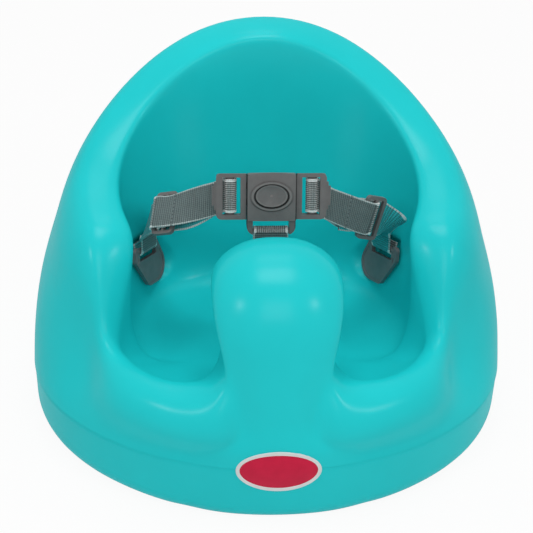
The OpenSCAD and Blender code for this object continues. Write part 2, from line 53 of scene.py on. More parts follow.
# ---------------------------------------------------------------- sizes that several pieces share

LEAN = math.radians(15)
BUCKLE_AT = Vector((-1.2, -24.3, 181.1))
BUCKLE_UP = Vector((0, math.sin(LEAN), math.cos(LEAN)))
BUCKLE_OUT = Vector((0, -math.cos(LEAN), math.sin(LEAN)))
CASE_W = 34.8
BUTTON_W = 23.3
BUTTON_H = 16.5
SURROUND_W = 29
SURROUND_H = 21.2
WEB_W = 25
WEB_T = 1.3
RIB_PITCH = 1.7
WARP_PITCH = 1.4
STITCH_PITCH = 2.9
SELVEDGE_W = 1.1
# The middle of the tape in its UV map, which is mirrored to below zero on the reverse
UV_MIDDLE = 15


# ---------------------------------------------------------------- colours

FOAM_DARK = (0.013, 0.62, 0.65)
FOAM_LIGHT = (0.015, 0.68, 0.71)
PLASTIC_DARK = (0.119, 0.114, 0.114)
PLASTIC_LIGHT = (0.147, 0.141, 0.140)
SLATE_DARK = (0.165, 0.138, 0.142)
SLATE_LIGHT = (0.20, 0.168, 0.172)
RED_DARK = (0.62, 0.012, 0.055)
RED_LIGHT = (0.68, 0.014, 0.062)
WHITE_DARK = (0.74, 0.75, 0.75)
WHITE_LIGHT = (0.80, 0.81, 0.81)
STEEL_DARK = (0.55, 0.55, 0.57)
STEEL_LIGHT = (0.62, 0.62, 0.64)
# painted highlight for the rims beside the button's gap
RIM_HIGHLIGHT = (0.21, 0.205, 0.2)
# near-black painted shade for the buckle's gaps and below the button's surround
PAINTED_SHADE = (0.008, 0.008, 0.008)
WEB_DARK = (0.022, 0.040, 0.041)
WEB_LIGHT = (0.20, 0.265, 0.265)
# painted shade where a strap starts to bend round a bar, and a painted highlight with its dark threads
# where it is bent tight
WEB_BEND_SHADE = (0.09, 0.11, 0.11)
WEB_HIGHLIGHT_DARK = (0.04, 0.048, 0.048)
WEB_HIGHLIGHT = (0.50, 0.52, 0.51)
WEB_BACK_DARK = (0.003, 0.125, 0.135)
WEB_BACK_LIGHT = (0.018, 0.56, 0.59)
WEB_EDGE_DARK = (0.16, 0.24, 0.24)
WEB_EDGE = (0.60, 0.68, 0.67)
# painted highlight on the selvedge where the tape is taut
WEB_EDGE_HIGHLIGHT = (0.85, 0.87, 0.86)
THREAD_DARK = (0.08, 0.11, 0.11)
THREAD_LIGHT = (0.22, 0.28, 0.28)


# ---------------------------------------------------------------- shader nodes

def math_node(tree, operation, *values):
    """A maths node fed with numbers or sockets."""
    node = tree.nodes.new("ShaderNodeMath")
    node.operation = operation
    for socket, value in zip(node.inputs, values):
        if isinstance(value, (int, float)):
            socket.default_value = value
        else:
            tree.links.new(value, socket)
    return node.outputs[0]


def times(tree, a, b):
    return math_node(tree, "MULTIPLY", a, b)


def magnitude(tree, a):
    return math_node(tree, "ABSOLUTE", a)


def noise(tree, vector, scale, detail=3.0, rough=0.55):
    node = tree.nodes.new("ShaderNodeTexNoise")
    node.inputs["Scale"].default_value = scale
    node.inputs["Detail"].default_value = detail
    node.inputs["Roughness"].default_value = rough
    tree.links.new(vector, node.inputs["Vector"])
    return node.outputs["Fac"]


def attribute(tree, name):
    node = tree.nodes.new("ShaderNodeAttribute")
    node.attribute_name = name
    return node.outputs["Fac"]


def waves(tree, length, pitch):
    """A sine wave along a length in metres, with its pitch in millimetres."""
    return math_node(tree, "SINE", times(tree, length, math.tau / (pitch * MM)))


def ramp(tree, fac, low, high, first, last):
    """The first colour up to low, the last from high on, and a straight run between."""
    node = tree.nodes.new("ShaderNodeValToRGB")
    for element, position, color in zip(node.color_ramp.elements, (low, high), (first, last)):
        element.position = position
        element.color = (*color, 1)
    tree.links.new(fac, node.inputs["Fac"])
    return node.outputs["Color"]


def mix(tree, factor, first, last):
    """The first colour where factor is 0 and the last, a socket or a constant, where it is 1."""
    node = tree.nodes.new("ShaderNodeMix")
    node.data_type = "RGBA"
    tree.links.new(factor, node.inputs[0])
    tree.links.new(first, node.inputs[6])
    if isinstance(last, tuple):
        node.inputs[7].default_value = (*last, 1)
    else:
        tree.links.new(last, node.inputs[7])
    return node.outputs[2]


def fade(tree, value, low, high, first=0.0, last=1.0):
    """The first number up to low, the last from high on, and smooth between."""
    node = tree.nodes.new("ShaderNodeMapRange")
    node.interpolation_type = "SMOOTHSTEP"
    for socket, number in zip(("From Min", "From Max", "To Min", "To Max"), (low, high, first, last)):
        node.inputs[socket].default_value = number
    tree.links.new(value, node.inputs["Value"])
    return node.outputs["Result"]


def band(tree, value, middle, half, blur):
    """1 where value is within half of middle, falling to 0 over blur."""
    away = magnitude(tree, math_node(tree, "SUBTRACT", value, middle))
    return fade(tree, away, half, half + blur, 1.0, 0.0)


def along_axis(tree, coords, origin, direction):
    """Millimetres from a point of the part along a direction."""
    offset = tree.nodes.new("ShaderNodeVectorMath")
    offset.operation = "SUBTRACT"
    tree.links.new(coords.outputs["Object"], offset.inputs[0])
    offset.inputs[1].default_value = origin * MM
    dot = tree.nodes.new("ShaderNodeVectorMath")
    dot.operation = "DOT_PRODUCT"
    tree.links.new(offset.outputs[0], dot.inputs[0])
    dot.inputs[1].default_value = direction / MM
    return dot.outputs["Value"]


def from_oval(tree, x, y, width, height):
    """Rough distance in millimetres outwards from an oval's line."""
    across = math_node(tree, "POWER", times(tree, x, 2 / width), 2.0)
    upward = math_node(tree, "POWER", times(tree, y, 2 / height), 2.0)
    ring = math_node(tree, "SQRT", math_node(tree, "ADD", across, upward))
    return times(tree, math_node(tree, "SUBTRACT", ring, 1.0), (width + height) / 4)


def bump(tree, shader, height, strength, distance):
    node = tree.nodes.new("ShaderNodeBump")
    node.inputs["Strength"].default_value = strength
    node.inputs["Distance"].default_value = distance
    tree.links.new(height, node.inputs["Height"])
    tree.links.new(node.outputs["Normal"], shader.inputs["Normal"])


def paint_over(tree, shader, factor, color):
    """Lays a colour over the base colour so far, where factor is 1."""
    so_far = shader.inputs["Base Color"].links[0].from_socket
    tree.links.new(mix(tree, factor, so_far, color), shader.inputs["Base Color"])


# ---------------------------------------------------------------- materials

def foam_detail(tree, shader, coords):
    """Skin of moulded foam: faint mottling of the colour and gloss, and a very fine orange peel."""
    place = coords.outputs["Object"]
    cloud = noise(tree, place, scale=9.0, detail=4.0)
    tree.links.new(ramp(tree, cloud, 0.3, 0.7, FOAM_DARK, FOAM_LIGHT), shader.inputs["Base Color"])
    gloss = math_node(tree, "MULTIPLY_ADD", noise(tree, place, scale=35.0), 0.10, 0.30)
    tree.links.new(gloss, shader.inputs["Roughness"])
    peel = noise(tree, place, scale=900.0, detail=2.0)
    ripple = noise(tree, place, scale=60.0, detail=2.0)
    height = math_node(tree, "MULTIPLY_ADD", ripple, 2.0, peel)
    bump(tree, shader, height, strength=0.25, distance=0.0001)


def moulded_detail(light, dark):
    """Moulded plastic with a fine spark-eroded grain."""
    def build(tree, shader, coords):
        grain = noise(tree, coords.outputs["Object"], scale=2500.0, detail=2.0)
        cloud = noise(tree, coords.outputs["Object"], scale=120.0)
        tree.links.new(ramp(tree, cloud, 0.3, 0.7, dark, light), shader.inputs["Base Color"])
        bump(tree, shader, grain, strength=0.3, distance=0.00008)
    return build


def tongue_detail(tree, shader, coords):
    """Moulded plastic with painted shade in the gap where the tongues meet the housing."""
    moulded_detail(PLASTIC_LIGHT, PLASTIC_DARK)(tree, shader, coords)
    x = along_axis(tree, coords, BUCKLE_AT, Vector((1, 0, 0)))
    # painted shade in the gap at the housing's sides
    paint_over(tree, shader, band(tree, magnitude(tree, x), CASE_W / 2 + 0.1, 0.35, 0.35), PAINTED_SHADE)


def buckle_detail(tree, shader, coords):
    """The same, with painted highlights on the rims by the button's gap, and painted shade in it and round
    the surround.
    """
    tongue_detail(tree, shader, coords)
    x = along_axis(tree, coords, BUCKLE_AT, Vector((1, 0, 0)))
    y = along_axis(tree, coords, BUCKLE_AT, BUCKLE_UP)
    from_gap = from_oval(tree, x, y, BUTTON_W + 0.5, BUTTON_H + 0.5)
    from_surround = from_oval(tree, x, y, SURROUND_W, SURROUND_H)
    outer_rim = band(tree, from_gap, 1.5, 0.2, 0.7)
    inner_rim = band(tree, from_gap, -1.1, 0.2, 0.5)
    rim_highlights = math_node(tree, "MAXIMUM", outer_rim, inner_rim)
    # painted highlights on the rims either side of the button's gap
    paint_over(tree, shader, times(tree, rim_highlights, 0.5), RIM_HIGHLIGHT)
    # painted shadow round the surround, faint above the button's middle and growing to 10 mm below it
    share = ramp(tree, times(tree, y, -1 / 10), 0.0, 1.0, (0.25,) * 3, (0.8,) * 3)
    shade = times(tree, band(tree, from_surround, 0.5, 0.1, 0.9), share)
    # painted shade in the button's gap, together with the painted shadow round the surround
    shade_mask = math_node(tree, "MAXIMUM", band(tree, from_gap, 0.05, 0.42, 0.45), shade)
    paint_over(tree, shader, shade_mask, PAINTED_SHADE)


def webbing_detail(tree, shader, coords):
    """Woven tape. UV x runs across it and y along it, both in metres; x is below zero on the reverse.
    The attribute taut is 1 where the tape is bent tight; there lines along it show, with a painted
    highlight, and painted shade where the bend starts.
    The attribute seam is 1 along a row of stitches."""
    split = tree.nodes.new("ShaderNodeSeparateXYZ")
    tree.links.new(coords.outputs["UV"], split.inputs[0])
    across = split.outputs["X"]
    along = split.outputs["Y"]
    taut = attribute(tree, "taut")
    seam = attribute(tree, "seam")
    fibre = noise(tree, coords.outputs["Object"], scale=1400.0, rough=0.7)
    cloud = noise(tree, coords.outputs["Object"], scale=150.0)

    # the weave: ribs across the tape, which give way to lines along it where it is taut
    ribs = times(tree, waves(tree, along, RIB_PITCH), math_node(tree, "MULTIPLY_ADD", taut, -0.4, 0.5))
    lines = times(tree, waves(tree, across, WARP_PITCH), math_node(tree, "MULTIPLY_ADD", taut, 0.5, 0.2))
    weave = math_node(tree, "ADD", ribs, lines)
    bump(tree, shader, math_node(tree, "MULTIPLY_ADD", fibre, 0.6, weave), strength=0.9, distance=0.0003)
    shade = math_node(tree, "MULTIPLY_ADD", weave, 0.4, 0.12)
    shade = math_node(tree, "MULTIPLY_ADD", fibre, 0.5, shade)
    shade = math_node(tree, "MULTIPLY_ADD", cloud, 0.25, shade)

    # the face, with painted shade where it starts to bend and a painted highlight where it is taut
    bend_shade = ramp(tree, shade, 0.2, 0.9, WEB_DARK, WEB_BEND_SHADE)
    taut_highlight = ramp(tree, shade, 0.2, 0.8, WEB_HIGHLIGHT_DARK, WEB_HIGHLIGHT)
    face = ramp(tree, shade, 0.15, 0.95, WEB_DARK, WEB_LIGHT)
    face = mix(tree, band(tree, taut, 0.45, 0.1, 0.3), face, bend_shade)
    face = mix(tree, fade(tree, taut, 0.6, 1.0), face, taut_highlight)

    # the reverse, and the selvedge, which shows wider where the tape is taut, with a painted highlight
    # there
    back = ramp(tree, shade, 0.15, 0.95, WEB_BACK_DARK, WEB_BACK_LIGHT)
    pale = ramp(tree, shade, 0.1, 0.9, WEB_EDGE_DARK, WEB_EDGE)
    # painted highlight on the selvedge where the tape is taut
    pale = mix(tree, taut, pale, ramp(tree, shade, 0.0, 0.5, WEB_EDGE, WEB_EDGE_HIGHLIGHT))
    from_middle = magnitude(tree, math_node(tree, "SUBTRACT", magnitude(tree, across), UV_MIDDLE * MM))
    inner_edge = (WEB_W / 2 - SELVEDGE_W) * MM
    selvedge = math_node(tree, "MULTIPLY_ADD", taut, -SELVEDGE_W * MM, inner_edge)
    color = mix(tree, math_node(tree, "LESS_THAN", across, 0.0), face, back)
    color = mix(tree, math_node(tree, "GREATER_THAN", from_middle, selvedge), color, pale)

    # the seam: painted shade in its crease, with a row of stitches in it
    color = mix(tree, times(tree, fade(tree, seam, 0.2, 0.7), 0.7), color, WEB_DARK)
    dashes = fade(tree, waves(tree, across, STITCH_PITCH), -0.4, 0.0)
    stitches = times(tree, fade(tree, seam, 0.5, 0.75), dashes)
    color = mix(tree, stitches, color, ramp(tree, fibre, 0.2, 0.8, THREAD_DARK, THREAD_LIGHT))
    tree.links.new(color, shader.inputs["Base Color"])


def material(name, color, roughness, build=None, **sockets):
    """A Principled material. build(tree, shader, coords) adds its procedural detail."""
    mat = bpy.data.materials.new(name)
    mat.use_nodes = True
    tree = mat.node_tree
    shader = tree.nodes["Principled BSDF"]
    shader.inputs["Base Color"].default_value = (*color, 1)
    shader.inputs["Roughness"].default_value = roughness
    for socket, value in sockets.items():
        shader.inputs[socket.replace("_", " ")].default_value = value
    if build:
        build(tree, shader, tree.nodes.new("ShaderNodeTexCoord"))
    return mat


FOAM = material("foam_skin", FOAM_LIGHT, 0.35, foam_detail,
                Specular_IOR_Level=0.0, Coat_Weight=0.3, Coat_Roughness=0.24)
GREY = material("grey_acetal", PLASTIC_LIGHT, 0.42, moulded_detail(PLASTIC_LIGHT, PLASTIC_DARK))
BUCKLE = material("buckle_acetal", PLASTIC_LIGHT, 0.42, buckle_detail)
TONGUE = material("tongue_acetal", PLASTIC_LIGHT, 0.42, tongue_detail)
SLATE = material("slate_plastic", SLATE_LIGHT, 0.5, moulded_detail(SLATE_LIGHT, SLATE_DARK))
RED = material("badge_red", RED_LIGHT, 0.35, moulded_detail(RED_LIGHT, RED_DARK), Specular_IOR_Level=0.15)
WHITE = material("badge_white", WHITE_LIGHT, 0.4, moulded_detail(WHITE_LIGHT, WHITE_DARK))
STEEL = material("steel_wire", STEEL_LIGHT, 0.3, moulded_detail(STEEL_LIGHT, STEEL_DARK), Metallic=1.0)
WEBBING = material("webbing", WEB_LIGHT, 0.7, webbing_detail, Sheen_Weight=0.15)


# ---------------------------------------------------------------- mesh helpers

def lerp(a, b, t):
    return a + (b - a) * t


def smooth_step(value, low, high):
    """0 up to low, 1 from high on, and smooth between."""
    t = np.clip((value - low) / (high - low), 0, 1)
    return t * t * (3 - 2 * t)


def add_mesh(name, points, faces, mat):
    """A piece from points in millimetres."""
    mesh = bpy.data.meshes.new(name)
    mesh.from_pydata([tuple(p) for p in np.asarray(points, float) * MM], [], faces)
    mesh.update()
    obj = bpy.data.objects.new(name, mesh)
    bpy.context.scene.collection.objects.link(obj)
    mesh.materials.append(mat)
    smooth(obj)
    return obj


def tube_faces(rows, count):
    """Faces of a closed tube from rows of count points, and its two end caps."""
    faces = [(i * count + k, i * count + after, (i + 1) * count + after, (i + 1) * count + k)
             for i in range(rows - 1) for k, after in enumerate([*range(1, count), 0])]
    last = (rows - 1) * count
    return [*faces, tuple(range(count))[::-1], tuple(range(last, last + count))]


def attach(obj, body, slot, *replaces):
    """The piece rides on a body; where body is (first, second, start, end), its mesh is only fixed where it
    stands.
    """
    if isinstance(body, str):
        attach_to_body(obj, body)
    else:
        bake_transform(obj)
    if replaces:
        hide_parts(*replaces)


def smooth(obj, limit=None):
    """Smooth shading, with edges sharper than limit (degrees) kept sharp."""
    mesh = obj.data
    mesh.polygons.foreach_set("use_smooth", [True] * len(mesh.polygons))
    if limit is None:
        return
    bm = bmesh.new()
    bm.from_mesh(mesh)
    for edge in bm.edges:
        if len(edge.link_faces) == 2:
            edge.smooth = edge.calc_face_angle(0) < math.radians(limit)
    bm.to_mesh(mesh)
    bm.free()


def face_outwards(mesh):
    """Turns the faces of a closed mesh so that they all look outwards."""
    bm = bmesh.new()
    bm.from_mesh(mesh)
    bmesh.ops.recalc_face_normals(bm, faces=bm.faces)
    bm.to_mesh(mesh)
    bm.free()


def apply_modifiers(obj):
    """Replaces a piece's mesh by what its modifiers make of it."""
    depsgraph = bpy.context.evaluated_depsgraph_get()
    mesh = bpy.data.meshes.new_from_object(obj.evaluated_get(depsgraph))
    obj.modifiers.clear()
    old = obj.data
    obj.data = mesh
    bpy.data.meshes.remove(old)


def cut_box(obj, low, high):
    """Cuts a box out of a piece, from its lowest corner to its highest."""
    middle = (Vector(low) + Vector(high)) / 2
    size = Vector(high) - Vector(low)
    mesh = bpy.data.meshes.new("cutter")
    bm = bmesh.new()
    bmesh.ops.create_cube(bm, size=1)
    for vert in bm.verts:
        vert.co = (middle + vert.co * size) * MM
    bm.to_mesh(mesh)
    bm.free()
    cutter = bpy.data.objects.new("cutter", mesh)
    bpy.context.scene.collection.objects.link(cutter)
    cut = obj.modifiers.new("cut", "BOOLEAN")
    cut.operation = "DIFFERENCE"
    cut.solver = "EXACT"
    cut.object = cutter
    apply_modifiers(obj)
    bpy.data.meshes.remove(mesh)


# ---------------------------------------------------------------- where the harness lies

GAP = 0.3
ADJUSTER_SKEW = math.radians(6.7)
ADJUSTER_BAR_D = 3.4
TONGUE_BAR_X = 29.3
TONGUE_BAR_W = 6.4
TONGUE_BAR_T = 4.4
WEB_Y = -1
STRUT_D = 4.2
BAR_Y = -27.4
BAR_D = 4
ROD_Z = 6.7
ROD_D = 5
ROD_LEN = 40

ANCHOR_ANGLE = math.radians(114.4)
ANCHOR_R = 101
ANCHOR_Z = 96
ANCHOR_TILT = math.radians(11)
ANCHOR_ROLL = math.radians(12.8)
ANCHOR_OUT = Vector((math.sin(ANCHOR_ANGLE), -math.cos(ANCHOR_ANGLE), 0))
ANCHOR_BACK = Vector((math.cos(ANCHOR_ANGLE), math.sin(ANCHOR_ANGLE), 0))
ANCHOR_UP = math.cos(ANCHOR_TILT) * Vector((0, 0, 1)) + math.sin(ANCHOR_TILT) * ANCHOR_OUT
ANCHOR_FACE = math.cos(ANCHOR_TILT) * ANCHOR_OUT - math.sin(ANCHOR_TILT) * Vector((0, 0, 1))
STRUT_DIR = math.cos(ANCHOR_ROLL) * ANCHOR_BACK - math.sin(ANCHOR_ROLL) * ANCHOR_UP
STRUT_UP = math.cos(ANCHOR_ROLL) * ANCHOR_UP + math.sin(ANCHOR_ROLL) * ANCHOR_BACK
STRUT_AT = ANCHOR_R * ANCHOR_OUT + Vector((0, 0, ANCHOR_Z))

# A point on a strap, and the directions along it, across it and off its face
StrapFrame = namedtuple("StrapFrame", "at along across off")


def buckle(x, y, z):
    """A point in the buckle's frame: x across, y up along it, z out of its face."""
    return BUCKLE_AT + Vector((x, 0, 0)) + y * BUCKLE_UP + z * BUCKLE_OUT


def on_anchor(above, off):
    """A point of the right anchor plate, above its strut's middle and off its face."""
    return STRUT_AT + above * STRUT_UP + off * ANCHOR_FACE


def strap_frame(start, direction, wide, sign):
    """Where a strap leaves its tongue. Its face is the side away from the sitter."""
    along = Vector(direction).normalized()
    across = (Vector(wide) - Vector(wide).dot(along) * along).normalized()
    return StrapFrame(Vector(start), along, across, sign * along.cross(across))


def on_strap(strap, along, off):
    """A point of a strap frame, along the strap and off its face."""
    return strap.at + along * strap.along + off * strap.off


def adjuster_frame(strap, reach):
    """The adjuster's own frame, at its middle and turned a little on the strap."""
    c, s = math.cos(ADJUSTER_SKEW), math.sin(ADJUSTER_SKEW)
    return StrapFrame(on_strap(strap, reach, 0), c * strap.along + s * strap.across,
                      c * strap.across - s * strap.along, strap.off)


LEFT_STRAP = strap_frame((-39.3, -21.8, 173.2), (-0.858, 0.315, -0.406), (0.05, 0.83, 0.55), -1)
RIGHT_STRAP = strap_frame((36.9, -22.4, 171.8), (0.801, 0.359, -0.477), (0.37, 0.32, 0.87), 1)
LEFT_SLIDE = adjuster_frame(LEFT_STRAP, 43)
RIGHT_SLIDE = adjuster_frame(RIGHT_STRAP, 46)


# ---------------------------------------------------------------- seat shell

SEAT_W = 359
FRONT_D = 168
BACK_D = 173.6
SIT_Z = 46
BACK_H = 254
ARM_H = 160
LIP_H = 91
POMMEL_H = 171
HEAD = 54
NECK = 33
LOBE_SMOOTHING = 90
PARTING_Z = 34
PARTING_RISE = 12.5
FOOT_H = 12
FOOT_R = 11
FOOT_INSET = 1.2
PLATE_T = 3.4
# Discs that the anchor plate's outline runs round: centre and radius
PLATE_ROUNDS = [
    (-16.2, -0.2, 3.2), (-15.6, -6.5, 3.8), (14.5, -0.2, 3.2), (13, -17.3, 13.2), (1, -25.5, 5)]
STRAP_POCKET_W = 29
STRAP_POCKET_H = 16
STRAP_POCKET_DEPTH = 7
BADGE_Y = 1.1 - FRONT_D
BADGE_Z = 45
BADGE_LEAN = math.radians(3.5)
BADGE_CURVE = 190
BADGE_W = 59
BADGE_H = 32
CROTCH_Y = -42
CROTCH_SLOT_D = 6.8
CROTCH_SLOT_H = 90
ROD_POCKET_D = 16
ROD_POCKET_H = 9.2

# The pommel's profiles, from the parting line up its front, over its top and down to the seat's middle
POMMEL_MID = [
    (0, -168, PARTING_Z), (0, -168, 50), (0, -162, 72), (0, -153, 98), (0, -144, 126),
    (0, -135, POMMEL_H - 19), (0, -112, POMMEL_H + 2), (0, -82, POMMEL_H + 7), (0, -56, POMMEL_H - 2),
    (0, -54, 140), (0, -62, 112), (0, -68, 84), (0, -62, 56), (0, -36, SIT_Z), (0, 0, SIT_Z)]
POMMEL_FACE = [
    (20, -167, PARTING_Z), (16, -167, 50), (12, -162, 72), (15, -153, 98), (22, -144, 126),
    (24, -133, POMMEL_H - 21), (25, -112, POMMEL_H + 1), (25, -82, POMMEL_H + 5), (24, -56, POMMEL_H - 4),
    (22, -54, 140), (19, -62, 112), (19, -68, 84), (16, -62, 56), (8, -36, SIT_Z), (0, 0, SIT_Z)]
POMMEL_EDGE = [
    (38, -164.5, PARTING_Z), (30, -164, 50), (23, -157, 70), (27, -149, 96), (HEAD - 12, -134, 128),
    (HEAD - 4, -121, 140), (HEAD, -104, POMMEL_H - 16), (HEAD, -82, POMMEL_H - 17),
    (HEAD - 4, -64, POMMEL_H - 27), (HEAD - 12, -66, 132), (32, -70, 112), (32, -70, 84), (26, -62, 56),
    (12, -36, SIT_Z), (0, 0, SIT_Z)]
POMMEL_NECK = [
    (54, -160, PARTING_Z), (46, -160, 47), (33, -164, 60), (31, -156, 84), (NECK, -144, 101),
    (NECK, -132, 115), (NECK - 1, -116, 121), (NECK - 1, -98, 121), (NECK, -84, 113), (NECK + 1, -80, 98),
    (NECK + 3, -78, 80), (34, -70, 66), (28, -52, 52), (14, -30, SIT_Z), (0, 0, SIT_Z)]
POMMEL_FOOT = [
    (66, -155, PARTING_Z), (60, -151, 46), (55, -170, 56), (53, -167, 78), (48, -154, 89),
    (44, -142, LIP_H), (41, -128, LIP_H), (42, -118, 88), (43, -112, 82), (43, -104, 76),
    (42, -90, 68), (38, -70, 60), (30, -46, 51), (14, -22, SIT_Z), (0, 0, SIT_Z)]

# The stations: angle from the front, crest radius and height, half widths out and in, drop of the outer
# and inner rounding, bulge outside and inside, inner foot radius and height, thigh roll weight and height
# of its tuck
STATIONS = [
    (27, 148, LIP_H, 16, 13, 10, 12, 2, 0, 46, 52, 1.0, 47),
    (35, 152, LIP_H, 17, 13, 10, 12, 2, 0, 50, 52, 1.0, 47),
    (44, 151, LIP_H, 16, 13, 11, 12, 0, 0, 58, 52, 1.0, 48),
    (51, 146, LIP_H, 12, 12, 12, 12, -7, 0, 71, 52, 0.15, 50),
    (57, 142, LIP_H - 1, 9, 9, 14, 12, -9, 0, 86, 52, 0.0, 62),
    (63, 130, ARM_H - 33, 15, 13, 24, 14, -11, 2, 100, 52, 0.0, 62),
    (72, 121, ARM_H + 1, 32, 22, 38, 16, 0, 8, 103, 52, 0.0, 64),
    (86, 128, ARM_H + 3, 30, 20, 30, 10, 3, 4, 103, 50, 0.0, 64),
    (108, 138, lerp(ARM_H, BACK_H, 0.2), 20, 20, 18, 10, 5, 2, 98, 50, 0.0, 64),
    (132, 137, lerp(ARM_H, BACK_H, 0.55), 16, 20, 14, 9, 6, 0, 88, 50, 0.0, 64),
    (156, 134, lerp(ARM_H, BACK_H, 0.86), 15, 25, 12, 9, 6, 0, 76, 50, 0.0, 64),
    (180, 124, BACK_H, 14, 25, 12, 9, 6, 0, 72, 50, 0.0, 64)]


def base_radius(angle):
    """Radius of the seat's oval outline at the parting line."""
    depth = FRONT_D if angle < 90 else BACK_D
    t = math.radians(angle)
    return 1 / math.hypot(math.sin(t) / (SEAT_W / 2), math.cos(t) / depth)


def station_points(s):
    """Control polygon of one station, from the parting line up over the rim to the seat's middle."""
    angle, crest, h, w_out, w_in, out_drop, in_drop, bulge, belly, foot, foot_z, roll, tuck = s
    base = base_radius(angle)
    out, inner = crest + w_out, crest - w_in
    top, inner_top = h - out_drop, h - 1.3 * in_drop
    plain = [(lerp(base, out, 0.1) + 0.4 * bulge, lerp(PARTING_Z, top, 0.28)),
             (lerp(base, out, 0.4) + bulge, lerp(PARTING_Z, top, 0.58)),
             (lerp(base, out, 0.8) + 0.5 * bulge, lerp(PARTING_Z, top, 0.85))]
    rolled = [(base - 4, tuck), (base + 3, tuck + 11), (base + 2, tuck + 28)]
    wall = [(lerp(p[0], r[0], roll), lerp(p[1], r[1], roll)) for p, r in zip(plain, rolled)]
    profile = [(base, PARTING_Z), *wall,
               (out, h - 0.7 * out_drop), (crest + 0.55 * w_out, h), (crest, h + 0.5),
               (inner + 0.45 * w_in, h - 0.1 * in_drop), (inner, h - 0.45 * in_drop),
               (inner - 0.5 + belly / 2, inner_top),
               (lerp(inner, foot, 0.35) + belly, lerp(inner_top, foot_z, 0.45)),
               (lerp(inner, foot, 0.78) + belly, lerp(inner_top, foot_z, 0.88)),
               (foot, foot_z - 1), (0.55 * foot, SIT_Z), (0, SIT_Z)]
    t = math.radians(angle)
    return [(r * math.sin(t), -r * math.cos(t), z) for r, z in profile]


POMMEL = [POMMEL_MID, POMMEL_FACE, POMMEL_EDGE, POMMEL_NECK, POMMEL_FOOT]
PROFILES = [*POMMEL, *map(station_points, STATIONS)]


# The profiles, and the spans of a profile, where the anchor plates are set into the wall of the bowl
PLATE_PROFILES = range(11, 14)
PLATE_SPANS = range(9, 12)


def ring_cuts(i):
    """Steps from one profile to the next round the seat, with more at the anchor plates."""
    from_front = min(i, 2 * (len(PROFILES) - 1) - 1 - i)
    return 24 if from_front in PLATE_PROFILES else 8


def span_cuts(j):
    """Steps of a span along a profile, with more at the anchor plates."""
    return 22 if j in PLATE_SPANS else 6


def spline_mean(points, t):
    """The point at t of a uniform cubic B-spline's span, from its four control points."""
    weights = ((1 - t) ** 3, 3 * t ** 3 - 6 * t * t + 4, -3 * t ** 3 + 3 * t * t + 3 * t + 1, t ** 3)
    return sum(weight / 6 * point for weight, point in zip(weights, points))


def seat_surface():
    """Grid of points: profiles round the seat by points from the parting line to the middle."""
    half = np.array(PROFILES, float)
    mirror = half[-2:0:-1] * (-1, 1, 1)
    net = np.concatenate([half, mirror])
    before = 2 * net[:, :1] - net[:, 1:2]
    after = 2 * net[:, -1:] - net[:, -2:-1]
    padded = np.concatenate([before, net, after], axis=1)
    columns = [spline_mean([padded[:, j + k] for k in range(4)], i / span_cuts(j))
               for j in range(net.shape[1] - 1) for i in range(span_cuts(j))]
    columns.append(net[:, -1])
    curves = np.stack(columns, axis=1)
    rings = [spline_mean([curves[(i - 1 + k) % len(curves)] for k in range(4)], j / ring_cuts(i))
             for i in range(len(curves)) for j in range(ring_cuts(i))]
    return np.stack(rings)


def foot_lines():
    """Inset and height of the lines below the parting line, from the floor up."""
    underside = [(60, 0), (30, 0)]
    arc = [(lerp(FOOT_INSET, FOOT_R, 1 - math.sin(a)), FOOT_H * (1 - math.cos(a)))
           for a in np.radians(np.linspace(0, 90, 9))]
    wall = [(lerp(FOOT_INSET, 0.55, t), lerp(FOOT_H, PARTING_Z - 4, t)) for t in np.linspace(0.12, 1, 9)]
    groove = [(0.5, PARTING_Z - 1.3), (0.9, PARTING_Z - 0.8), (0.9, PARTING_Z - 0.35)]
    return underside + arc + wall + groove


def soften_lobes(grid):
    """Rounds the two front lobes, which the net leaves a little square."""
    x, y, z = np.abs(grid[..., 0]), grid[..., 1], grid[..., 2]
    radius = np.hypot(x, y)
    weight = smooth_step(x, 34, 62) * smooth_step(-y, 20, 50) * smooth_step(z, 40, 52)
    weight = weight * (1 - smooth_step(z, 88, 130)) * smooth_step(radius, 130, 152)
    weight = weight[..., None] * 0.5
    for _ in range(LOBE_SMOOTHING):
        mean = (np.roll(grid, 1, axis=0) + np.roll(grid, -1, axis=0)) / 4
        mean[:, 1:-1] += (grid[:, 2:] + grid[:, :-2]) / 4
        mean[:, [0, -1]] = grid[:, [0, -1]]
        grid = grid + weight * (mean - grid)
    return grid


def tilt_parting_line(points):
    """Slides the outer wall's points up at the front and down at the back, so that the groove tilts."""
    z = points[:, 2]
    outside = smooth_step(np.hypot(points[:, 0], points[:, 1]), 118, 140)
    share = np.where(z < PARTING_Z, smooth_step(z, FOOT_H, PARTING_Z), 1 - smooth_step(z, PARTING_Z, 80))
    points[:, 2] = z + PARTING_RISE * (-points[:, 1] / FRONT_D) * share * outside


def recess(points, depth, distance, slope, rounding):
    """Depths of points that are pushed down to depth, with sloping sides where distance is above 0."""
    floor_depth = depth - slope * np.maximum(distance, 0)
    return 0.5 * (points + floor_depth + np.sqrt((points - floor_depth) ** 2 + rounding ** 2))


def convex_distance(x, y, rounds):
    """Distance from points to the outline round a set of discs, below zero inside it."""
    angles = np.radians(np.arange(0, 360, 3))
    normals = np.stack([np.cos(angles), np.sin(angles)])
    reach = np.max([cx * normals[0] + cy * normals[1] + radius for cx, cy, radius in rounds], axis=0)
    return np.max(x[:, None] * normals[0] + y[:, None] * normals[1] - reach, axis=1)


def within(*limits):
    """Indices of the points where the values of every (values, limit) lie nearer to 0 than the limit."""
    return np.nonzero(np.all([np.abs(values) < limit for values, limit in limits], axis=0))[0]


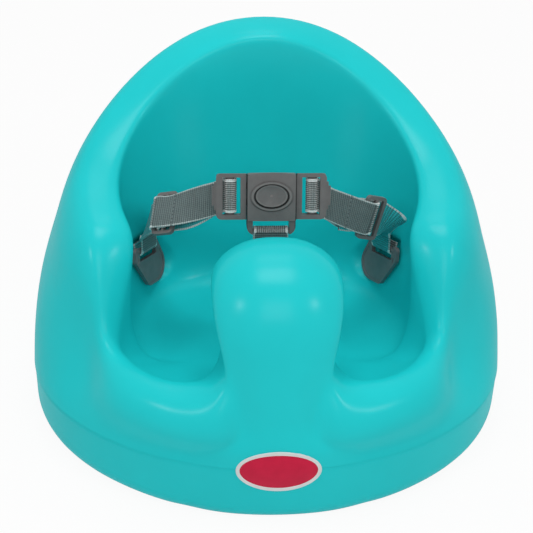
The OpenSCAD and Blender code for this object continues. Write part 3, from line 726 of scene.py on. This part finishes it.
def set_in_plates(points):
    """The shallow seats of the two anchor plates, and the pocket behind each strut for the webbing."""
    for side in (1, -1):
        local = points * (side, 1, 1) - np.array(STRUT_AT)
        x, y, z = (local @ np.array(axis) for axis in (STRUT_DIR, STRUT_UP, ANCHOR_FACE))
        near = within((x, 45), (y + 12, 45), (z, 25))
        x, y, z = x[near], y[near], z[near]
        from_plate = convex_distance(x, y, PLATE_ROUNDS) - 0.3
        from_pocket = np.maximum(np.abs(x) - STRAP_POCKET_W / 2, np.abs(y + 1) - STRAP_POCKET_H / 2)
        deeper = recess(z, PLATE_T / 2 + 0.2, from_plate, slope=2.5, rounding=1.0)
        deeper = recess(deeper, STRAP_POCKET_DEPTH, from_pocket, slope=2.2, rounding=0.8)
        points[near] += (deeper - z)[:, None] * np.array(ANCHOR_FACE) * (side, 1, 1)


def set_in_badge(points):
    """The seat of the badge in the curved front."""
    x, y, z = points[:, 0], points[:, 1] - BADGE_Y, points[:, 2] - BADGE_Z
    up = y * math.sin(BADGE_LEAN) + z * math.cos(BADGE_LEAN)
    out = z * math.sin(BADGE_LEAN) - y * math.cos(BADGE_LEAN)
    near = within((x, 40), (up, 25), (out, 12))
    x, up, out = x[near], up[near], out[near]
    inward = np.sqrt(BADGE_CURVE ** 2 - x ** 2) - BADGE_CURVE - out
    from_badge = (np.hypot(2 * x / BADGE_W, 2 * up / BADGE_H) - 1) * BADGE_H / 2
    deeper = recess(inward, 0.5, from_badge + 1.5, slope=1.5, rounding=0.3)
    points[near, 1] += (deeper - inward) * math.cos(BADGE_LEAN)
    points[near, 2] -= (deeper - inward) * math.sin(BADGE_LEAN)


def seat_shell():
    """The foam body: the smooth upper surface, closed by the foot below the parting line."""
    upper = soften_lobes(seat_surface())
    edge = upper[:, 0]
    radius = np.hypot(edge[:, 0], edge[:, 1])[:, None]
    lines = []
    for inset, z in foot_lines():
        flat = edge[:, :2] * (1 - inset / radius)
        lines.append(np.concatenate([flat, np.full((len(flat), 1), float(z))], axis=1))
    grid = np.concatenate([np.stack(lines, axis=1), upper[:, :-1]], axis=1)
    around, along = grid.shape[:2]
    points = np.concatenate([[(0, 0, 0)], grid.reshape(-1, 3), [(0, 0, SIT_Z)]])
    tilt_parting_line(points)
    set_in_plates(points)
    set_in_badge(points)

    def at(i, j):
        return 1 + (i % around) * along + j

    faces = [(0, at(i + 1, 0), at(i, 0)) for i in range(around)]
    faces += [(at(i, j), at(i + 1, j), at(i + 1, j + 1), at(i, j + 1))
              for i in range(around) for j in range(along - 1)]
    faces += [(at(i, along - 1), at(i + 1, along - 1), len(points) - 1) for i in range(around)]
    obj = add_mesh("foam_body", points, faces, FOAM)
    cut_box(obj, (-WEB_W / 2 - 1, CROTCH_Y - CROTCH_SLOT_D / 2, ROD_POCKET_H - 2),
            (WEB_W / 2 + 1, CROTCH_Y + CROTCH_SLOT_D / 2, CROTCH_SLOT_H))
    cut_box(obj, (-ROD_LEN / 2 - 1, CROTCH_Y - ROD_POCKET_D / 2, -5),
            (ROD_LEN / 2 + 1, CROTCH_Y + ROD_POCKET_D / 2, ROD_POCKET_H))
    smooth(obj, 50)
    attach(obj, "seat", "foam", "seat_shell")


seat_shell()


# ---------------------------------------------------------------- rigid pieces

def dress(node, mat, bevel):
    """A CAD node that stays as it is, with rounded edges and its material."""
    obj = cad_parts[node]
    obj.data.materials.clear()
    obj.data.materials.append(mat)
    weld = obj.modifiers.new("weld", "WELD")
    weld.merge_threshold = 0.01 * MM
    edge = obj.modifiers.new("edges", "BEVEL")
    edge.width = bevel * MM
    edge.segments = 2
    edge.limit_method = "ANGLE"
    edge.angle_limit = math.radians(40)
    edge.use_clamp_overlap = True
    edge.harden_normals = True


for side in ("left", "right"):
    dress(f"{side}_tongue", TONGUE, 0.45)
    dress(f"{side}_adjuster", GREY, 0.6)
    dress(f"{side}_anchor_plate", SLATE, 0.5)
dress("buckle_front_shell", BUCKLE, 0.5)
dress("buckle_back_shell", GREY, 0.5)
dress("release_button", BUCKLE, 0.5)
dress("crotch_strap_rod", STEEL, 0.3)
dress("badge_bezel", WHITE, 0.3)
dress("badge_plate", RED, 0.3)


# ---------------------------------------------------------------- the button's spring

BACK_Z = -6.2
BUTTON_BACK_Z = 3.6
SPRING_R = 2.5
WIRE_R = 0.25
SPRING_LOW = BACK_Z + 1.6 + WIRE_R
SPRING_HIGH = BUTTON_BACK_Z - WIRE_R
SPRING_TURNS = 5
STEPS_PER_TURN = 24
WIRE_SIDES = 8


def spring():
    """The button's coil. Its lower end rests in the back shell and its upper end against the button."""
    steps = SPRING_TURNS * STEPS_PER_TURN
    points = []
    for i in range(steps + 1):
        turned = math.tau * i / STEPS_PER_TURN
        z = lerp(SPRING_LOW, SPRING_HIGH, i / steps)
        for k in range(WIRE_SIDES):
            around = math.tau * k / WIRE_SIDES
            r = SPRING_R + WIRE_R * math.cos(around)
            height = z - WIRE_R * math.sin(around)
            points.append(buckle(r * math.cos(turned), r * math.sin(turned), height))
    obj = add_mesh("coil_spring", points, tube_faces(steps + 1, WIRE_SIDES), STEEL)
    face_outwards(obj.data)
    ends = buckle(0, 0, SPRING_LOW), buckle(0, 0, SPRING_HIGH)
    attach(obj, ("belt", "button", *ends), "steel", "button_spring")


spring()


# ---------------------------------------------------------------- webbing

# Millimetres between the rows of a strap
STEP = 0.9
# Distance in from the tape's edge, and half its thickness there
SELVEDGE = [(0, 0.15), (0.12, 0.38), (0.45, 0.56), (1.0, 0.62), (1.6, 0.60)]
WEB_HALF = 0.56
SEAM_REACH = 1.4


def catmull(p, t):
    """The point at t between the middle two of four points on a Catmull-Rom curve."""
    return 0.5 * (2 * p[1] + (p[2] - p[0]) * t + (2 * p[0] - 5 * p[1] + 4 * p[2] - p[3]) * t * t
                  + (3 * p[1] - p[0] - 3 * p[2] + p[3]) * t ** 3)


def with_ends(values):
    """The values with one more before the first and after the last, each straight on."""
    return np.concatenate([[2 * values[0] - values[1]], values, [2 * values[-1] - values[-2]]])


# A place along a strap: its centre line, the direction across, the direction along and the length so far
Row = namedtuple("Row", "center across tangent length")


def smooth_path(path):
    """Entries (point, direction across) resampled on a Catmull-Rom curve as rows.
    The across direction is longer than 1 where the strap folds on the slant."""
    points = np.array([point for point, _ in path], float)
    across = np.array([wide for _, wide in path], float)
    widths = np.linalg.norm(across, axis=1)
    p, w = with_ends(points), with_ends(across)
    centers, wides = [], []
    for i in range(1, len(points)):
        count = max(2, int(np.linalg.norm(points[i] - points[i - 1]) / STEP + 0.5))
        for t in np.arange(count) / count:
            centers.append(catmull(p[i - 1:i + 3], t))
            wide = catmull(w[i - 1:i + 3], t)
            wides.append(wide / np.linalg.norm(wide) * lerp(widths[i - 1], widths[i], t))
    centers = np.array(centers + [points[-1]])
    tangents = np.gradient(centers, axis=0)
    tangents /= np.linalg.norm(tangents, axis=1)[:, None]
    steps = np.linalg.norm(np.diff(centers, axis=0), axis=1)
    return list(map(Row, centers, wides + [across[-1]], tangents, np.append(0, np.cumsum(steps))))


def nearest_row(rows, point):
    """Index of the row whose centre lies nearest to a point."""
    return int(np.argmin([np.linalg.norm(row.center - point) for row in rows]))


def web_section():
    """Half-height of the tape across its width: flat, with a rounded selvedge."""
    half = WEB_W / 2
    left = [(inset - half, lift) for inset, lift in SELVEDGE]
    flat = [(across, WEB_HALF) for across in np.linspace(3 - half, half - 3, 7)]
    right = [(-across, lift) for across, lift in reversed(left)]
    return left + flat + right


def tightness(rows):
    """0 where the strap runs straight, up to 1 where it is bent round a bar."""
    turned = np.linalg.norm(np.diff([row.tangent for row in rows], axis=0), axis=1)
    steps = np.linalg.norm(np.diff([row.center for row in rows], axis=0), axis=1)
    bend = np.convolve(np.append(turned / steps, 0), [0.25, 0.5, 0.25], "same")
    return smooth_step(bend, 0.05, 0.25)


def point_attribute(mesh, name, values, count):
    """An attribute of a strap's points, from one value for each row of count points."""
    layer = mesh.attributes.new(name, "FLOAT", "POINT")
    layer.data.foreach_set("value", np.repeat(values, count).astype(np.float32))


def webbing(name, rows, face, body, *replaces, seam=None):
    """A strap along rows of smooth_path. face is 1 where its grey face lies on the side of
    tangent x across, and -1 where it lies on the other. seam is a point where it is sewn across."""
    section = web_section()
    loop = section + [(across, -lift) for across, lift in reversed(section)]
    count = len(loop)
    points = []
    for row in rows:
        normal = np.cross(row.tangent, row.across)
        normal /= np.linalg.norm(normal)
        points += [row.center + across * row.across + lift * normal for across, lift in loop]
    uvs = []
    for i in range(len(rows) - 1):
        for k in range(count):
            after = (k + 1) % count
            sign = 1 if (k < len(section) - 1) == (face > 0) else -1
            for n, row in ((k, rows[i]), (after, rows[i]), (after, rows[i + 1]), (k, rows[i + 1])):
                uvs.append((sign * (loop[n][0] + UV_MIDDLE) * MM, row.length * MM))
    # the two cut ends
    uvs += [(UV_MIDDLE * MM, 0)] * (2 * count)
    obj = add_mesh(name, points, tube_faces(len(rows), count), WEBBING)
    layer = obj.data.uv_layers.new(name="UVMap")
    layer.data.foreach_set("uv", np.ravel(uvs).astype(np.float32))
    point_attribute(obj.data, "taut", tightness(rows), count)
    if seam is not None:
        away = np.array([row.length for row in rows]) - rows[nearest_row(rows, seam)].length
        point_attribute(obj.data, "seam", 1 - smooth_step(np.abs(away), 0, SEAM_REACH), count)
    face_outwards(obj.data)
    attach(obj, body, "webbing", *replaces)


def turn(center, radius, start, stop, steps):
    """Points of a turn round a bar, in the plane across it."""
    angles = np.radians(np.linspace(start, stop, steps + 1))
    return [(center[0] + radius * math.cos(a), center[1] + radius * math.sin(a)) for a in angles]


# ---------------------------------------------------------------- waist straps

BAR_LOOP = ADJUSTER_BAR_D / 2 + WEB_T / 2 + GAP
# How far the strap's two layers lie off the adjuster's middle
FRONT_OFF = 4
BACK_OFF = -4.6

# sign: -1 on the left and 1 on the right
# slide: the adjuster's frame
# sewn_end: the end sewn round the adjuster's bar, as points along the strap and off it
# drop: how far below the middle of the tongue's bar the strap leaves it
# back_off: how far off the adjuster's middle it lies on its way back from the tongue
# folds: points and directions across, from its first fold beside the adjuster down to the plate
# seam: where it is sewn across, along the strap
WaistStrap = namedtuple("WaistStrap", "sign slide sewn_end drop back_off folds seam")

WAIST_STRAPS = {
    "left": WaistStrap(
        sign=-1, slide=LEFT_SLIDE, drop=3.6, back_off=-2.5, seam=-9.5,
        sewn_end=[(-3.5, 2.7), (1.5, 2.65), (4, 1.6), (4.5, 0), (5.3, -2), (7.5, -2.95), (9.6, -2.1),
                  (10.4, 0), (9.9, 2.3), (7.8, 3.9), (4, 4.15), (-8, 4.1)],
        folds=[((-87, 8, 141), (0.15, 0.77, 0.62)), ((-89.5, 22, 130), (0.25, 0.7, 0.67)),
               ((-90.5, 36, 117.5), (0.4, 0.75, 0.52))]),
    "right": WaistStrap(
        sign=1, slide=RIGHT_SLIDE, drop=7.8, back_off=-3, seam=-24,
        sewn_end=[(-27, 1.25), (-17, 0.9), (-12.6, -1.2), (-9, -BAR_LOOP),
                  *turn((0, 0), BAR_LOOP, -90, 90, 4), (-9, BAR_LOOP)],
        folds=[((85.5, 3.2, 141), (0.5, 0.2, 0.84)), ((92, 5.5, 136), (0.76, -0.06, 0.56)),
               ((90.5, 15, 130), (0.84, -0.4, 0.46)), ((88.5, 25, 123), (0.76, -0.56, 0.4)),
               ((88.8, 36, 116), (0.62, -0.76, 0.3))])}


def tongue_path(sign, drop):
    """Round the tongue's bar. drop is how far the strap sits below the bar's middle where it leaves."""
    turned = [(TONGUE_BAR_X + (TONGUE_BAR_W / 2 + WEB_T / 2 + GAP) * math.cos(a),
               (TONGUE_BAR_T / 2 + WEB_T / 2 + GAP) * math.sin(a), 0)
              for a in np.radians(np.linspace(10, 270, 7))]
    entries = [(38.6, -2, 0.8), (36, -1.6, 0.4), *turned, (34, -3.5, 0.15), (38, -4.4, 0.7)]
    return [(buckle(sign * x, WEB_Y - drop * share, z), BUCKLE_UP) for x, z, share in entries]


def strut_path(sign):
    """Round the anchor plate's strut, above the slot and off the plate."""
    points = [(13, -3.9), (7, -3.5), *turn((0, 0), STRUT_D / 2 + WEB_T / 2 + GAP, 270, 90, 4), (6, 3.4)]
    flip = Vector((sign, 1, 1))
    return [(on_anchor(above, off) * flip, -sign * STRUT_DIR * flip) for above, off in points]


def waist_path(strap):
    """From the sewn end at the adjuster, round the tongue's bar and behind the adjuster to the plate."""
    def layer(points):
        return [(on_strap(strap.slide, along, off), strap.slide.across) for along, off in points]

    back_layer = layer([(-22, strap.back_off), (-9, BACK_OFF), (9, BACK_OFF)])
    return [*layer(strap.sewn_end), *tongue_path(strap.sign, strap.drop), *back_layer,
            *strap.folds, *strut_path(strap.sign)]


def waist_webbing(side):
    """A waist strap in three pieces."""
    strap = WAIST_STRAPS[side]
    rows = smooth_path(waist_path(strap))

    def in_front(along):
        return on_strap(strap.slide, along, FRONT_OFF)

    # the front layer is parted halfway to the tongue
    parting = in_front(-27)
    end = nearest_row(rows, on_strap(strap.slide, *strap.sewn_end[-1]))
    cut = end + nearest_row(rows[end:end + 40], parting)
    seam = rows[end + nearest_row(rows[end:cut], in_front(strap.seam))].center
    # the last piece runs from its first fold to the plate
    fold = Vector(strap.folds[0][0])
    swing = nearest_row(rows, fold)
    plate = on_anchor(8, 0) * Vector((strap.sign, 1, 1))
    webbing(f"{side}_loop_webbing", rows[:cut + 1], -strap.sign,
            ("belt", f"{side}_adjuster", parting, in_front(-8.5)), seam=seam)
    webbing(f"{side}_waist_webbing", rows[cut:swing + 1], -strap.sign,
            ("belt", f"{side}_tongue", parting, in_front(-45)), f"{side}_waist_strap")
    webbing(f"{side}_anchor_webbing", rows[swing:], -strap.sign, ("seat", "belt", plate, fold))


waist_webbing("left")
waist_webbing("right")


# ---------------------------------------------------------------- crotch strap

def crotch_path():
    """From behind the pommel round the buckle's lower bar, down through the slot and round the rod."""
    loop = turn((0, 0), BAR_D / 2 + WEB_T / 2 + 0.35, -90, 90, 4)
    bar = [(-28, -3.4), (-12, -3.2), *loop, (-5, 1.2), (-12, -1.7)]
    path = [buckle(0, BAR_Y + up, out) for up, out in bar]
    path += [(-1.3, -36.5, 128), (-0.7, -36, 108), (-0.2, -36, 88)]
    down = [(-39, 70), (-40.5, 56), (-40.5, 30), (-40.5, 12)]
    down += turn((CROTCH_Y, ROD_Z), ROD_D / 2 + WEB_T / 2 + 0.25, 20, -200, 7)
    down += [(-43.5, 12), (-43.5, 36)]
    path += [(0, y, z) for y, z in down]
    return [(point, (1, 0, 0)) for point in path]


webbing("crotch_webbing", smooth_path(crotch_path()), 1,
        ("seat", "belt", (0, -40, 60), (0, -30, 150)), "crotch_strap")


# ---------------------------------------------------------------- camera, light and floor

VIEW_AZIMUTH = math.radians(-3.91)
VIEW_ELEVATION = math.radians(32.12)
VIEW_ROLL = math.radians(1.70)
VIEW_DISTANCE = 1250
VIEW_TARGET = Vector((0, 0, 110))
# Where the target lies in the photo, in pixels from its upper left corner, and the scale there
VIEW_CENTER = (268.5, 260.1)
MM_PER_PIXEL = 0.745
IMAGE_SIZE = 533
SENSOR_W = 36

# Name, place and size in metres, and power in watts
LAMPS = [
    ("top", (0.0, -0.1, 1.9), 0.8, 10.5),
    ("front", (0.0, -1.4, 1.2), 0.7, 3.6),
    ("back", (0.0, 0.8, 1.7), 0.7, 2.6),
    ("left", (-1.2, -1.05, 1.25), 0.18, 3.0),
    ("right", (1.2, -1.05, 1.25), 0.18, 3.0)]
LAMPS_FACE = Vector((0, 0, 0.1))
SOFT_LIGHT = 0.37
FLOOR_WHITE = 0.93
FLOOR_COLOR = (0.86, 0.86, 0.86)


def camera():
    """The photo's camera, fitted to the seat's outline."""
    back = Vector((math.sin(VIEW_AZIMUTH) * math.cos(VIEW_ELEVATION),
                   -math.cos(VIEW_AZIMUTH) * math.cos(VIEW_ELEVATION), math.sin(VIEW_ELEVATION)))
    right = Vector((math.cos(VIEW_AZIMUTH), math.sin(VIEW_AZIMUTH), 0))
    up = back.cross(right)
    rolled_right = right * math.cos(VIEW_ROLL) + up * math.sin(VIEW_ROLL)
    rolled_up = up * math.cos(VIEW_ROLL) - right * math.sin(VIEW_ROLL)
    data = bpy.data.cameras.new("camera")
    data.sensor_width = SENSOR_W
    data.lens = VIEW_DISTANCE / MM_PER_PIXEL / IMAGE_SIZE * SENSOR_W
    data.clip_end = 10
    data.shift_x = 0.5 - VIEW_CENTER[0] / IMAGE_SIZE
    data.shift_y = VIEW_CENTER[1] / IMAGE_SIZE - 0.5
    obj = bpy.data.objects.new("camera", data)
    bpy.context.scene.collection.objects.link(obj)
    obj.matrix_world = Matrix((rolled_right, rolled_up, back)).transposed().to_4x4()
    obj.matrix_world.translation = (VIEW_TARGET + back * VIEW_DISTANCE) * MM
    bpy.context.scene.camera = obj


def lamp(name, place, size, power):
    """An area lamp that faces the seat."""
    data = bpy.data.lights.new(name, "AREA")
    data.size = size
    data.energy = power
    obj = bpy.data.objects.new(name, data)
    bpy.context.scene.collection.objects.link(obj)
    obj.location = place
    obj.rotation_euler = (Vector(place) - LAMPS_FACE).to_track_quat("Z", "Y").to_euler()


def looking_rays(tree):
    """1 for rays that look at a surface, straight or in a reflection, and 0 for those that light things."""
    path = tree.nodes.new("ShaderNodeLightPath")
    looks = math_node(tree, "ADD", path.outputs["Is Camera Ray"], path.outputs["Is Glossy Ray"])
    looks = math_node(tree, "ADD", looks, path.outputs["Is Transmission Ray"])
    looks.node.use_clamp = True
    return looks


def look_white(tree, lit, share, white_kind, output):
    """Mixes a share of plain white into a lit shader, for the rays that look at it."""
    white = tree.nodes.new(white_kind)
    white.inputs["Color"].default_value = (1, 1, 1, 1)
    white.inputs["Strength"].default_value = 1.0
    choose = tree.nodes.new("ShaderNodeMixShader")
    tree.links.new(times(tree, looking_rays(tree), share), choose.inputs[0])
    tree.links.new(lit.outputs[0], choose.inputs[1])
    tree.links.new(white.outputs[0], choose.inputs[2])
    tree.links.new(choose.outputs[0], tree.nodes[output].inputs["Surface"])


def floor():
    """A pale floor that looks white and keeps a faint shadow."""
    bpy.ops.mesh.primitive_plane_add(size=8)
    obj = bpy.context.object
    obj.name = "floor"
    mat = material("floor", FLOOR_COLOR, 0.9, Specular_IOR_Level=0.1)
    tree = mat.node_tree
    lit = tree.nodes["Principled BSDF"]
    look_white(tree, lit, FLOOR_WHITE, "ShaderNodeEmission", "Material Output")
    obj.data.materials.append(mat)


def studio_world():
    """Soft white light all round, and pure white where the backdrop is looked at."""
    world = bpy.data.worlds.new("studio")
    bpy.context.scene.world = world
    world.use_nodes = True
    tree = world.node_tree
    soft = tree.nodes["Background"]
    soft.inputs["Color"].default_value = (1, 1, 1, 1)
    soft.inputs["Strength"].default_value = SOFT_LIGHT
    look_white(tree, soft, 1.0, "ShaderNodeBackground", "World Output")


camera()
floor()
studio_world()
for description in LAMPS:
    lamp(*description)
bpy.context.scene.view_settings.view_transform = "Standard"
